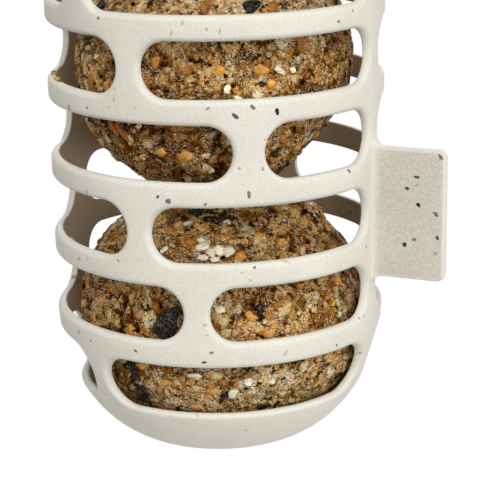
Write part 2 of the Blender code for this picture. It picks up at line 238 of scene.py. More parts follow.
def wall_triangles(outlines, border, loose):
    """Triangles of the unrolled wall between its openings, as places in the list of all their points."""
    points, edges, owner = [], [], []
    for number, loop in enumerate(outlines + [border]):
        first = len(points)
        points += loop
        edges += [(first + i, first + (i + 1) % len(loop)) for i in range(len(loop))]
        owner += [number] * len(loop)
    points = points + loose
    owner += [-1] * len(loose)
    flat = [Vector((angle * BOWL_TOP_RADIUS / MM, height / MM)) for angle, height in points]
    found = delaunay_2d_cdt(flat, edges, [], 1, 1e-4)
    triangles = [[found[3][i][0] for i in face] for face in found[2]]
    keep = (-1, len(outlines))
    return [t for t in triangles if len({owner[i] for i in t}) > 1 or owner[t[0]] in keep]


class Skin:
    """The points and faces of a piece under way."""

    def __init__(self):
        self.points, self.faces = [], []

    def lay(self, row):
        """Adds a row of points and gives their numbers."""
        self.points.extend(row)
        return list(range(len(self.points) - len(row), len(self.points)))

    def join(self, rows, closed=True):
        """Spans faces from each row of points to the next, right round where the rows are closed."""
        for row, following in zip(rows, rows[1:]):
            for i in range(len(row) if closed else len(row) - 1):
                j = (i + 1) % len(row)
                self.faces.append((row[i], row[j], following[j], following[i]))


def ring(radius, height, angles):
    """Points on a level circle about the cage's axis."""
    return [(radius * math.cos(a), radius * math.sin(a), height) for a in angles]


def cage_skin():
    """The whole moulding as one closed skin: slotted wall, rim, bowl and tab."""
    skin = Skin()
    places = slot_places()
    layers = slot_layers()
    slots = []
    for place in places:
        rows = []
        for depth, spread in layers:
            rows.append(skin.lay([on_wall(a, h, depth) for a, h in slot_outline(*place, spread)]))
        skin.join(rows)
        slots.append(rows)

    loops = tab_loops()
    tab_rows = [skin.lay(loop) for loop in loops]
    skin.join(tab_rows)
    skin.faces.append(tuple(tab_rows[-1]))
    foot = [(math.atan2(y, x), z) for x, y, z in loops[0]]

    low = FIRST_SLOT_BOTTOM - 2 * SLOT_EDGE_ROUND
    high = CAGE_HEIGHT - WALL / 2
    seam = [low + (high - low) * i / SEAM_STEPS for i in range(1, SEAM_STEPS)]
    border = [(a, low) for a in COLUMN_ANGLES] + [(math.pi, h) for h in seam]
    border += [(a, high) for a in reversed(COLUMN_ANGLES)] + [(-math.pi, h) for h in reversed(seam)]
    grid = [(a, h) for a in COLUMN_ANGLES[1:-1] for h in seam]
    edges = []
    for depth, layer, margin in ((0.0, 0, SLOT_MARGINS[0]), (1.0, -1, SLOT_MARGINS[1])):
        spread = layers[layer][1]
        outlines = [slot_outline(*place, spread) for place in places]
        spots = [rows[layer] for rows in slots]
        if depth == 0.0:
            outlines.append(foot)
            spots.append(tab_rows[0])
        loose = [spot for spot in grid if clear_of_slots(*spot, places, spread + margin)]
        edge = skin.lay([on_wall(a, h, depth) for a, h in border])
        inside = skin.lay([on_wall(a, h, depth) for a, h in loose])
        corners = [i for spot in spots for i in spot] + edge + inside
        triangles = wall_triangles(outlines, border, loose)
        skin.faces.extend(tuple(corners[i] for i in triangle) for triangle in triangles)
        edges.append(edge)

    count = len(COLUMN_ANGLES)
    turn = count + SEAM_STEPS - 1
    rim = [edges[0][turn:turn + count]]
    for i in range(1, RIM_STEPS):
        t = math.pi * i / RIM_STEPS
        reach = RIM_RADIUS - WALL / 2 + WALL / 2 * math.cos(t)
        rim.append(skin.lay(ring(reach, high + WALL / 2 * math.sin(t), COLUMN_ANGLES[::-1])))
    skin.join(rim + [edges[1][turn:turn + count]], closed=False)

    for depth, base, gate, edge in ((0.0, 0.0, GATE_DEPTH, edges[0]), (1.0, WALL, 0.0, edges[1])):
        rings = [edge[:count]]
        start = math.acos(1.0 - (low - base) / (BOWL_HEIGHT - base))
        for i in range(1, BOWL_RINGS + 1):
            height = base + (BOWL_HEIGHT - base) * (1.0 - math.cos(start * (1.0 - i / BOWL_RINGS)))
            rings.append(skin.lay([on_wall(a, height, depth) for a in COLUMN_ANGLES]))
        flat = (
            (FLAT_RING_RADIUS, 0.0), (GATE_RADIUS * 1.3, 0.0), (GATE_RADIUS, gate), (GATE_RADIUS / 2, gate),
        )
        rings += [skin.lay(ring(reach, base + sink, COLUMN_ANGLES)) for reach, sink in flat]
        skin.join(rings, closed=False)
        skin.faces.append(tuple(rings[-1][:-1]))
    return skin


WELD = 0.002 * MM


def new_object(name, data):
    """An object in the scene for a mesh, a lamp or a camera."""
    made = bpy.data.objects.new(name, data)
    bpy.context.scene.collection.objects.link(made)
    return made


def closed_piece(name, skin, sharp=50.0):
    """A piece from a skin: welded along its seams, facing outwards, smooth up to a sharp angle."""
    mesh = bpy.data.meshes.new(name)
    mesh.from_pydata(skin.points, [], skin.faces)
    shape = bmesh.new()
    shape.from_mesh(mesh)
    bmesh.ops.remove_doubles(shape, verts=shape.verts, dist=WELD)
    bmesh.ops.dissolve_degenerate(shape, edges=shape.edges, dist=WELD / 2)
    bmesh.ops.recalc_face_normals(shape, faces=shape.faces)
    shape.to_mesh(mesh)
    shape.free()
    mesh.shade_smooth()
    mesh.set_sharp_from_angle(angle=math.radians(sharp))
    return new_object(name, mesh)


def drill(piece, radius, length, location, rotation=None, sides=24, sharp=40.0):
    """Cuts a round hole through a piece."""
    shape = bmesh.new()
    bmesh.ops.create_cone(
        shape, cap_ends=True, segments=sides, radius1=radius, radius2=radius, depth=length,
        matrix=Matrix.LocRotScale(Vector(location), rotation, None),
    )
    mesh = bpy.data.meshes.new("drill")
    shape.to_mesh(mesh)
    shape.free()
    tool = new_object("drill", mesh)
    cut = piece.modifiers.new("hole", "BOOLEAN")
    cut.operation = "DIFFERENCE"
    cut.solver = "EXACT"
    cut.object = tool
    bpy.context.view_layer.update()
    drilled = piece.evaluated_get(bpy.context.evaluated_depsgraph_get())
    cut_mesh = bpy.data.meshes.new_from_object(drilled)
    piece.modifiers.clear()
    piece.data = cut_mesh
    cut_mesh.name = piece.name
    cut_mesh.set_sharp_from_angle(angle=math.radians(sharp))
    bpy.data.objects.remove(tool)


cage = closed_piece("cage_moulding", cage_skin())
sideways = Matrix.Rotation(math.pi / 2, 3, "Y").to_quaternion()
drill(cage, HOOK_HOLE_RADIUS, 4 * RIM_RADIUS, (0, 0, HOOK_HEIGHT), sideways)

# Flecks that show in front, most of them found in the photograph by a program: degrees round from the tab
# and height in mm, then length and width in mm, tilt in degrees and darkness
WALL_FLECKS = (
    (-16, 114.5, 0.9, 0.6, 85, 0.6), (-76, 114.5, 1.6, 0.8, 70, 0.3), (-105.5, 114.5, 1.1, 0.9, 150, 0.7),
    (-23, 112.5, 1.2, 0.8, 30, 0.75), (-64.5, 112.5, 1.6, 0.7, 80, 0.3), (-68.5, 113, 0.9, 0.7, 100, 0.45),
    (-79.5, 112, 1.4, 0.7, 70, 0.35), (-100, 98, 1.1, 0.9, 90, 0.25), (-100.5, 95.5, 1.3, 1.0, 90, 0.25),
    (-54.5, 94.5, 1.7, 1.0, 130, 0.8), (-68.5, 94.5, 1.4, 0.7, 25, 0.55), (-92.5, 94, 1.1, 0.7, 30, 0.2),
    (-46.5, 93, 2.0, 1.1, 105, 1.0), (-60, 92.5, 2.2, 1.0, 140, 0.9), (-102.5, 93.5, 1.0, 0.7, 60, 0.2),
    (-112.5, 92.5, 0.9, 0.7, 125, 0.75), (-123, 91.5, 1.6, 0.7, 85, 0.85), (-50.5, 86.5, 0.8, 0.6, 0, 0.3),
    (-51.5, 79.5, 1.1, 0.6, 90, 0.65), (-59, 80, 0.9, 0.6, 20, 0.5), (-70, 82, 0.8, 0.5, 40, 0.3),
    (-17, 75.5, 1.2, 0.8, 105, 0.9), (-56, 73.5, 2.4, 0.9, 95, 0.75), (-70, 71.5, 1.0, 0.7, 70, 0.8),
    (-82, 72, 1.6, 1.4, 170, 0.8), (-85.5, 73, 0.9, 0.7, 60, 0.95), (-114.5, 71.5, 1.3, 0.9, 120, 0.3),
    (-140, 72.5, 0.9, 0.6, 100, 0.7), (-17, 60.5, 0.8, 0.7, 20, 0.6), (-6, 54.5, 0.7, 0.6, 120, 0.6),
    (-43.5, 56, 2.0, 0.6, 160, 0.25), (-54.5, 55.5, 0.8, 0.7, 0, 0.8), (-58.5, 54.5, 1.1, 0.5, 5, 0.3),
    (-101, 56, 1.1, 0.7, 135, 0.5), (-115.5, 54.5, 1.4, 0.5, 80, 0.3), (-121, 53.5, 1.6, 1.1, 40, 0.35),
    (-56, 52.5, 1.2, 0.6, 170, 0.2), (-71, 41.5, 1.0, 0.8, 0, 0.35), (-70.5, 39, 0.9, 0.6, 0, 0.25),
    (-7.5, 36.5, 0.9, 0.8, 0, 0.45), (-10, 36.5, 0.7, 0.6, 0, 0.6), (-69, 34.5, 1.2, 0.7, 5, 0.8),
    (-95.5, 33.5, 1.1, 0.7, 155, 0.85), (-116, 33, 0.8, 0.7, 115, 0.5), (-123.5, 34, 1.3, 0.8, 125, 0.7),
    (-23, 32, 0.7, 0.6, 0, 0.9), (-44, 33, 2.0, 0.7, 50, 0.35), (-71.5, 32, 1.3, 0.7, 10, 0.95),
    (-5, 26, 0.8, 0.7, 105, 0.5), (-75.5, 16.5, 1.5, 0.8, 100, 0.25), (-86, 15.5, 1.1, 0.6, 0, 0.2),
    (-115.5, 18, 0.8, 0.6, 115, 0.35), (-56, 11, 0.9, 0.5, 165, 0.35),
)
# Flecks on the tab's front face, found in the same way: distance from the axis in mm, then as above
TAB_FLECKS = (
    (60, 78, 1.9, 0.9, 130, 0.75), (54, 72.5, 1.7, 0.8, 175, 0.9), (54, 70.5, 1.2, 0.7, 65, 0.35),
    (51.5, 69.5, 1.3, 0.8, 150, 0.95), (54.5, 65.5, 1.5, 1.0, 135, 1.0), (59, 63.5, 1.7, 1.0, 135, 0.8),
    (59.5, 57.5, 1.3, 1.0, 100, 0.9), (53.5, 56.5, 1.2, 0.9, 0, 0.75), (51, 55, 1.3, 1.1, 60, 0.95),
    (59, 53.5, 1.1, 1.0, 130, 0.4),
)
FLECK_AREA = 330.0 * MM * MM
FLECK_LENGTHS = (0.7, 2.0)
FLECK_SLIMNESS = (0.35, 0.8)
FLECK_DARKNESS = (0.25, 1.0)
SAME_FACING = 0.3
SEEN_TURN = (-140.0, 2.0)
SEEN_HEIGHT = 120.0 * MM
TAB_CLEARANCE = 1.0 * MM
TAB_FRONT = -0.5
CAGE_FLECK_SEED = 11


def fleck(place, facing, across, length, width, tilt, darkness):
    """A fleck: its middle, the facing of its surface, its two axes over its half sizes, and its darkness."""
    place, facing, across = Vector(place), Vector(facing), Vector(across)
    turn = math.radians(tilt)
    along = across * math.cos(turn) + facing.cross(across).normalized() * math.sin(turn)
    side = facing.cross(along)
    return (*place, *facing, *(along / (length * MM / 2)), *(side / (width * MM / 2)), darkness)


def scattered_flecks(mesh, dice, hidden):
    """Flecks all over a moulding, apart from the faces that hidden names."""
    faces = [face for face in mesh.polygons if not hidden(face.center, face.normal)]
    areas = np.array([face.area for face in faces])
    found = []
    for number in dice.choice(len(faces), int(areas.sum() / FLECK_AREA), p=areas / areas.sum()):
        facing = faces[number].normal
        across = facing.orthogonal().normalized()
        length = dice.uniform(*FLECK_LENGTHS)
        width = length * dice.uniform(*FLECK_SLIMNESS)
        tilt = dice.uniform(0.0, 360.0)
        darkness = dice.uniform(*FLECK_DARKNESS)
        found.append(fleck(faces[number].center, facing, across, length, width, tilt, darkness))
    return found


def mark_flecks(mesh, flecks):
    """Tells every face of a moulding which fleck lies nearest, for the plastic's material to draw."""
    flecks = np.array(flecks)
    count = len(mesh.polygons)
    centres, normals = np.empty(count * 3), np.empty(count * 3)
    mesh.polygons.foreach_get("center", centres)
    mesh.polygons.foreach_get("normal", normals)
    centres, normals = centres.reshape(-1, 3), normals.reshape(-1, 3)
    nearest = np.zeros(count, int)
    best = np.full(count, np.inf)
    for number, row in enumerate(flecks):
        distance = np.linalg.norm(centres - row[:3], axis=1)
        closer = (distance < best) & (normals @ row[3:6] > SAME_FACING)
        nearest[closer] = number
        best[closer] = distance[closer]
    for name, first in (("fleck_place", 0), ("fleck_along", 6), ("fleck_side", 9)):
        marks = flecks[nearest, first:first + 3]
        mesh.attributes.new(name, "FLOAT_VECTOR", "FACE").data.foreach_set("vector", marks.ravel())
    darkness = np.where(np.isfinite(best), flecks[nearest, 12], 0.0)
    mesh.attributes.new("fleck_darkness", "FLOAT", "FACE").data.foreach_set("value", darkness)


def seen_in_front(centre, facing):
    """Whether a face of the cage lies where the flecks are listed."""
    if centre.x > wall_radius(TAB_TOP) + TAB_CLEARANCE:
        return facing.y < TAB_FRONT
    angle = math.degrees(math.atan2(centre.y, centre.x))
    outward = facing.x * centre.x + facing.y * centre.y > 0.0
    return outward and SEEN_TURN[0] < angle < SEEN_TURN[1] and centre.z < SEEN_HEIGHT


cage_flecks = []
for angle, height, *form in WALL_FLECKS:
    a = math.radians(angle)
    outward = (math.cos(a), math.sin(a), 0.0)
    across = (-math.sin(a), math.cos(a), 0.0)
    cage_flecks.append(fleck(on_wall(a, height * MM, 0.0), outward, across, *form))
for reach, height, *form in TAB_FLECKS:
    place = (reach * MM, -TAB_HALF_THICKNESS, height * MM)
    cage_flecks.append(fleck(place, (0.0, -1.0, 0.0), (1.0, 0.0, 0.0), *form))
cage_flecks += scattered_flecks(cage.data, np.random.default_rng(CAGE_FLECK_SEED), seen_in_front)
mark_flecks(cage.data, cage_flecks)


def card(red, green, blue):
    """A colour as on a colour card, 0 to 255, in the linear values that shaders take."""
    shares = [value / 255.0 for value in (red, green, blue)]
    return tuple(s / 12.92 if s <= 0.04045 else ((s + 0.055) / 1.055) ** 2.4 for s in shares) + (1.0,)


class Value:
    """A number, place or colour that a material's nodes work out, to reckon with as in a sum."""

    def __init__(self, socket):
        self.socket = socket

    def through(self, kind, inputs, output=0, **settings):
        """What a new node makes of its inputs."""
        return Value(add(self.socket.id_data, kind, inputs, **settings).outputs[output])

    def reckon(self, operation, *others):
        """This number worked together with others."""
        return self.through("ShaderNodeMath", dict(enumerate((self, *others))), operation=operation)

    def __add__(self, other):
        return self.reckon("ADD", other)

    def __sub__(self, other):
        return self.reckon("SUBTRACT", other)

    def __rsub__(self, other):
        return self.through("ShaderNodeMath", {0: other, 1: self}, operation="SUBTRACT")

    def __mul__(self, other):
        return self.reckon("MULTIPLY", other)

    def __abs__(self):
        return self.reckon("ABSOLUTE")

    def vector(self, operation, *others, output=0):
        """This place or direction worked together with others."""
        inputs = dict(enumerate((self, *others)))
        return self.through("ShaderNodeVectorMath", inputs, output, operation=operation)

    def split(self, kind="XYZ"):
        """The three parts of this place, direction or colour."""
        parts = add(self.socket.id_data, "ShaderNodeSeparate" + kind, {0: self}).outputs
        return [Value(part) for part in parts]

    def grade(self, low, high, start=0.0, end=1.0):
        """This number carried smoothly from one range to another."""
        inputs = {"Value": self, "From Min": low, "From Max": high, "To Min": start, "To Max": end}
        return self.through("ShaderNodeMapRange", inputs, interpolation_type="SMOOTHSTEP")

    def tint(self, first, second, blend="MIX"):
        """A colour between two others, this number being the share of the second."""
        inputs = {0: self, 6: first, 7: second}
        return self.through("ShaderNodeMix", inputs, 2, data_type="RGBA", blend_type=blend)

    def grain(self, scale, detail=2.0, roughness=0.5, output="Fac"):
        """Cloudy noise at this place, with so many clouds to a metre."""
        inputs = {"Vector": self, "Scale": scale, "Detail": detail, "Roughness": roughness}
        return self.through("ShaderNodeTexNoise", inputs, output)

    def bump(self, strength, distance):
        """The facing of a surface that rises and falls with this number."""
        inputs = {"Height": self, "Strength": strength, "Distance": distance}
        return self.through("ShaderNodeBump", inputs, "Normal")


def feed(node, inputs):
    """Gives a node its inputs, which are plain or worked out by other nodes."""
    for name, value in inputs.items():
        if isinstance(value, Value):
            node.id_data.links.new(value.socket, node.inputs[name])
        else:
            node.inputs[name].default_value = value


def add(tree, kind, inputs=None, **settings):
    """A new node with its settings and inputs."""
    made = tree.nodes.new(kind)
    for name, value in settings.items():
        setattr(made, name, value)
    feed(made, inputs or {})
    return made


def painted(finish, name, output):
    """What is painted on the piece under a name."""
    return Value(add(finish.node_tree, "ShaderNodeAttribute", attribute_name=name).outputs[output])


def new_finish(name):
    """A material, its shader, and the place and facing of every point on the piece."""
    finish = bpy.data.materials.new(name)
    finish.use_nodes = True
    nodes = finish.node_tree.nodes
    surface = nodes.new("ShaderNodeTexCoord").outputs
    return finish, nodes["Principled BSDF"], Value(surface["Object"]), Value(surface["Normal"])


def flecked_plastic():
    """Moulded off-white plastic: a fine skin, dark flecks, a parting line, the tab's grained face, and
    painted shade on the wall's inner faces.
    """
    finish, shader, spot, facing = new_finish("flecked_plastic")
    x, y, z = spot.split()
    facing_x, facing_y, _ = facing.split()
    cloud = spot.grain(55.0, 3.0)
    skin = spot.grain(2300.0)
    body = cloud.grade(0.3, 0.7).tint(card(230, 226, 213), card(236, 232, 220))
    body = skin.grade(0.35, 0.7, 0.0, 0.36).tint(body, card(202, 197, 183))

    # Painted shade: the wall's inner faces below the rim are drawn darker and browner.
    outward = facing_y * y + facing_x * x
    painted_inner_shade = outward.grade(-0.02, -0.035) * z.grade(0.2, 0.19)
    body = painted_inner_shade.tint(body, card(190, 174, 148))

    middle = (TAB_TOP + TAB_BOTTOM) / 2
    to_end = (TAB_TOP - TAB_BOTTOM) / 2 - abs(z - middle)
    to_tip = TAB_TIP - x
    inside = to_end.reckon("MINIMUM", to_tip).grade(TAB_BORDER * 0.8, TAB_BORDER * 1.3)
    root = wall_radius(TAB_TOP)
    off_root = x.grade(root - 0.5 * MM, root + 2.5 * MM)
    field = inside * off_root * abs(facing_y).grade(0.8, 0.95)
    coarse = spot.grain(2100.0, 2.0, 0.6)
    # The tab's grained face is drawn darker, blotched by the coarse grain.
    tab_face_tone = coarse.grade(0.3, 0.7).tint(card(202, 196, 183), card(222, 217, 204))
    body = field.tint(body, tab_face_tone)

    offset = spot.vector("SUBTRACT", painted(finish, "fleck_place", "Vector"))
    along = offset.vector("DOT_PRODUCT", painted(finish, "fleck_along", "Vector"), output=1)
    side = offset.vector("DOT_PRODUCT", painted(finish, "fleck_side", "Vector"), output=1)
    away = (along * along + side * side).reckon("SQRT")
    ragged = spot.grain(1900.0, 1.0) * 0.9 + away
    dark = ragged.grade(1.46, 1.24) * painted(finish, "fleck_darkness", "Fac")
    body = dark.tint(body, card(20, 24, 35))

    rough = field * 0.14 + cloud.grade(0.25, 0.75, 0.48, 0.6)
    parting_line = abs(y).grade(0.28 * MM, 0.1 * MM) * abs(facing_x).grade(0.7, 0.9)
    height = coarse * field * 1.6 + skin * 1.1 + parting_line
    normal = height.bump(0.6, 0.05 * MM)
    feed(shader, {"Base Color": body, "Roughness": rough, "Specular IOR Level": 0.2, "Normal": normal})
    return finish


plastic = flecked_plastic()
cage.data.materials.append(plastic)
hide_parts("cage")
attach(cage, "cage_and_bail")


# Fat balls: three loose barrels of crumbed grain, seeds and husk in rendered fat, stacked in the cage.
# Each is crushed into shape in a press, so grains lie flush in the fat and only a few stand out of it.

BALL_RADIUS = 35.6 * MM
BALL_HALF_HEIGHT = 31.0 * MM
BALL_SQUARENESS = 2.3
BALL_BODIES = ("fat_ball_lower", "fat_ball_middle", "fat_ball_upper")
BALL_FINENESS = 7
GRAIN_COUNT = 4200
GRAIN_SPREAD = (0.1, 0.55)
GRAIN_SIZES = (0.4, 3.2)
GRAIN_STAND = (-0.3, 0.45)
GRAIN_DOME = 0.42
RIFT_DEPTH = 1.0 * MM
SWELL = 0.25 * MM
# Waves to a metre in the grains' edges, which stray by so many mm, in the gaps, rifts and slow swell
EDGE_WAVES = 620.0
EDGE_WOBBLE = 0.45
GAP_WAVES = 170.0
RIFT_WAVES = 140.0
SWELL_WAVES = (90.0, 210.0)
NEIGHBOURS = 10
CRUMB_COLOURS = (
    (card(112, 74, 30), 0.14), (card(148, 106, 50), 0.24), (card(178, 136, 72), 0.26),
    (card(204, 164, 94), 0.16), (card(228, 199, 148), 0.07), (card(206, 138, 50), 0.04),
    (card(160, 94, 32), 0.05), (card(248, 232, 198), 0.05), (card(62, 38, 16), 0.03),
)
PALENESS_SPREAD = (-0.02, 0.46)
PALENESS_RANGE = (0.36, 2.3)
WHOLE_GRAIN = 1.9 * MM
WHOLE_GRAIN_COLOURS = (card(198, 144, 70), card(176, 126, 60), card(210, 168, 96), card(160, 108, 46))


def ball_reach(directions):
    """Distance from a ball's middle to its pressed surface, along unit directions."""
    level = np.hypot(directions[:, 0], directions[:, 1]) / BALL_RADIUS
    upright = np.abs(directions[:, 2]) / BALL_HALF_HEIGHT
    return (level**BALL_SQUARENESS + upright**BALL_SQUARENESS) ** (-1.0 / BALL_SQUARENESS)


# Where a ball lost crumb or kept a clod: degrees round from the tab, height over its middle in mm, reach
# round in degrees and up in mm, and how far the flank draws in there in mm
BALL_LOSSES = (
    ((20, 28, 25, 3.5, -5.2), (-156.5, 0, 40, 14, -0.8), (18, 1, 32, 18, -2.3),
     (14, -14, 28, 8, -1.6)),
    ((23.5, -28, 46, 20, 9.6), (23.5, -22, 40, 7, 2.2), (-156.5, -26, 50, 12, 2.6)),
    (),
)
# Painted light and painted shade on a ball's crumb, drawn as crumb paler with fat or darker with bran: as
# above, then how much lighter it is there
BALL_LIGHT_AND_SHADE = (
    ((-62, -13, 50, 8, 0.9), (-52, -18, 40, 6, 0.8), (-40, 7, 30, 9, 0.25),
     (-104, 5, 22, 9, -0.25), (12, -14, 18, 9, -0.85)),
    ((-90, -14, 40, 9, -0.5), (-75, 21, 55, 7, 2.6)),
    (),
)
# Crumb darkened by painted shade between grains takes a warmer hue, and crumb lightened by random paleness
# or painted light a paler one
SHADE_POWERS = (1, 1.27, 1.95)
HUE_SPREAD = (0, 0.06, 0.26)
PAINTED_SHADE_HUE = (1, 0.73, 0.16, 1)
CRUMB_GAIN = 1.38
PALEST_CRUMB = (0.88, 0.74, 0.5)
# Painted light on the crumb mixes in the pale fat colour by this share of its amount
FAT_AND_LIGHT_SHARE = 0.2
FAT_COLOUR = card(238, 217, 176)
FINE_CRUMBS = 800.0
FINE_CRUMB_WOBBLE = (0.8 * MM, 0.8 * MM, 0.8 * MM)
TINY = 1e-6


def patches(points, spots):
    """What the spots on a ball add up to at some points, fading out from each spot's middle."""
    angle = np.degrees(np.arctan2(points[:, 1], points[:, 0]))
    total = np.zeros(len(points))
    for turn, height, round_reach, up_reach, amount in spots:
        beside = np.abs((angle - turn + 180) % 360.0 - 180) / round_reach
        above = (points[:, 2] / MM - height) / up_reach
        total += amount * np.exp(-beside**2 - above**2)
    return total


def pecked(points, losses):
    """Draws in a ball's flank where it lost some of its crumb."""
    level = np.hypot(points[:, 0], points[:, 1])
    left = level - patches(points, losses) * MM
    share = np.maximum(left, 0) / np.maximum(level, TINY)
    share = np.where(level < 1.0 * MM, 1, share)
    return points * np.stack([share, share, np.ones_like(share)], axis=1)


def surface_frame(points):
    """Outward, sideways and upward directions of a ball's surface at some points."""
    level = np.maximum(np.hypot(points[:, 0], points[:, 1]), TINY)
    power = BALL_SQUARENESS - 1.0
    radial = (level / BALL_RADIUS) ** power / BALL_RADIUS / level
    rise = points[:, 2] / BALL_HALF_HEIGHT
    upright = np.sign(rise) * np.abs(rise) ** power / BALL_HALF_HEIGHT
    out = np.stack([points[:, 0] * radial, points[:, 1] * radial, upright], axis=1)
    out /= np.linalg.norm(out, axis=1)[:, None]
    side = np.stack([-points[:, 1], points[:, 0], np.zeros(len(points))], axis=1) / level[:, None]
    return out, side, np.cross(out, side)


def waves(points, scale):
    """Smooth noise about nought at some points, with so many waves to a metre."""
    return np.array([noise.noise(Vector(point) * scale) for point in points])


def crumb_mass(dice, losses, light_and_shade):
    """Points, faces and colours of a ball's pressed crumb: domed grains with crevices between them, painted
    shade in the crevices, and patches of painted light and shade.
    """
    shape = bmesh.new()
    bmesh.ops.create_icosphere(shape, subdivisions=BALL_FINENESS, radius=1.0)
    directions = np.array([vert.co for vert in shape.verts])
    faces = [tuple(vert.index for vert in face.verts) for face in shape.faces]
    shape.free()
    points = pecked(directions * ball_reach(directions)[:, None], losses)
    seeds = dice.normal(size=(GRAIN_COUNT, 3))
    seeds /= np.linalg.norm(seeds, axis=1)[:, None]
    centres = pecked(seeds * ball_reach(seeds)[:, None], losses)
    sizes = np.clip(dice.lognormal(*GRAIN_SPREAD, GRAIN_COUNT), *GRAIN_SIZES) * MM
    heights = dice.uniform(*GRAIN_STAND, GRAIN_COUNT) * MM
    shares = np.array([share for _, share in CRUMB_COLOURS])
    picks = dice.choice(len(CRUMB_COLOURS), GRAIN_COUNT, p=shares / shares.sum())
    colours = np.array([colour for colour, _ in CRUMB_COLOURS])[picks]
    whole = sizes > WHOLE_GRAIN
    colours[whole] = np.array(WHOLE_GRAIN_COLOURS)[dice.integers(0, len(WHOLE_GRAIN_COLOURS), whole.sum())]
    pale = np.clip(dice.lognormal(*PALENESS_SPREAD, GRAIN_COUNT), *PALENESS_RANGE)
    hues = np.exp(np.outer(dice.normal(0.0, 1.0, GRAIN_COUNT), HUE_SPREAD))

    tree = kdtree.KDTree(GRAIN_COUNT)
    for number, centre in enumerate(centres):
        tree.insert(centre, number)
    tree.balance()
    owner = np.zeros(len(points), int)
    crevice = np.zeros(len(points))
    wobble = np.array([noise.noise_vector(Vector(p) * EDGE_WAVES) for p in points]) * EDGE_WOBBLE * MM
    for i, point in enumerate(points + wobble):
        found = tree.find_n(point, NEIGHBOURS)
        ranks = sorted((distance / sizes[number], number) for _, number, distance in found)
        owner[i] = ranks[0][1]
        crevice[i] = ranks[1][0] - ranks[0][0]
    slack = np.clip(0.05 + 0.55 * waves(points, GAP_WAVES), 0.0, 0.3)
    dome = np.clip((crevice - slack) / GRAIN_DOME, 0.0, 1.0)
    dome = dome * (2.0 - dome)
    slow = waves(points, SWELL_WAVES[0]) + 0.5 * waves(points, SWELL_WAVES[1])
    rift = (1.0 - dome) * np.clip(0.5 + 1.8 * waves(points, RIFT_WAVES), 0.05, 1.0)
    lift = heights[owner] * dome - RIFT_DEPTH * rift + SWELL * slow

    out, _, _ = surface_frame(points)
    # Patches of painted light and painted shade lighten or darken the crumb, and mix in pale fat where they
    # lighten it.
    tone = patches(points, light_and_shade)
    # Painted shade in the rifts between grains, weaker under painted light.
    depth = 1.0 - 0.96 * rift * (1.0 - 0.3 * np.clip(tone, 0.0, 1.0))
    fat = FAT_AND_LIGHT_SHARE * np.maximum(tone, 0.0)
    shade = np.clip(pale[owner] * depth * (1.0 + 0.3 * slow) * (1.0 + tone), 0.02, 3.0) * (1.0 - fat)
    palest = np.array(PALEST_CRUMB)
    paint = colours[owner]
    paint[:, :3] *= CRUMB_GAIN * hues[owner] * shade[:, None] ** np.array(SHADE_POWERS)
    paint[:, :3] /= np.maximum(paint[:, :1] / palest[0], 1.0)
    paint[:, :3] = np.minimum(paint[:, :3], paint[:, :1] * palest / palest[0])
    paint[:, :3] += np.outer(fat * depth, FAT_COLOUR[:3])
    return points + out * lift[:, None], faces, paint


def bit_form(rows=6, columns=10):
    """Unit points and faces of a rounded bit, its length along X."""
    points = [(-1.0, 0.0, 0.0)]
    for row in range(1, rows):
        t = math.pi * row / rows
        for column in range(columns):
            a = math.tau * column / columns
            points.append((-math.cos(t), math.sin(t) * math.cos(a), math.sin(t) * math.sin(a)))
    points.append((1.0, 0.0, 0.0))
    faces = []
    last = len(points) - 1
    for column in range(columns):
        beside = (column + 1) % columns
        faces.append((0, 1 + beside, 1 + column))
        for row in range(rows - 2):
            base = 1 + row * columns
            faces.append((base + column, base + beside, base + columns + beside, base + columns + column))
        base = 1 + (rows - 2) * columns
        faces.append((base + column, base + beside, last))
    return np.array(points), faces


BIT_POINTS, BIT_FACES = bit_form()
# Kinds of bits: colour, how knobbly, thickness to width, and share of the bits that lie anywhere
BIT_KINDS = {
    "maize": (card(236, 170, 76), 0.2, 0.75, 0.22),
    "groat": (card(226, 198, 150), 0.26, 0.6, 0.3),
    "flake": (card(255, 247, 214), 0.35, 0.3, 0.14),
    "husk": (card(10, 10, 11), 0.06, 0.3, 0.02),
    "chaff": (card(15, 13, 12), 0.5, 0.4, 0.0),
    "lentil": (card(212, 194, 138), 0.2, 0.8, 0.08),
    "millet": (card(222, 188, 50), 0.04, 0.9, 0.02),
    "wheat": (card(184, 124, 62), 0.2, 0.7, 0.22),
}
THINNEST_BIT = 0.5 * MM


def bit(dice, kind, length, width):
    """A seed, flake or piece of husk lying along X with its outer face up Z, knobbly as its kind is."""
    _, rough, thinness, _ = BIT_KINDS[kind]
    form = BIT_POINTS.copy()
    if kind in ("flake", "husk", "groat"):
        form = np.sign(form) * np.abs(form) ** 0.75
    form[:, 2] = np.sign(form[:, 2]) * np.abs(form[:, 2]) ** 0.7
    knobs = 1.0 + dice.uniform(-rough, 0.6 * rough, len(form))
    form *= knobs[:, None]
    if kind in ("husk", "wheat"):
        form[:, 1] *= 1.0 - 0.45 * form[:, 0]
    thickness = max(thinness * width, THINNEST_BIT)
    form *= np.array([length, width, thickness]) / 2
    form[:, 2] += 0.12 * thickness * np.cos(form[:, 0] / length * math.pi)
    return form


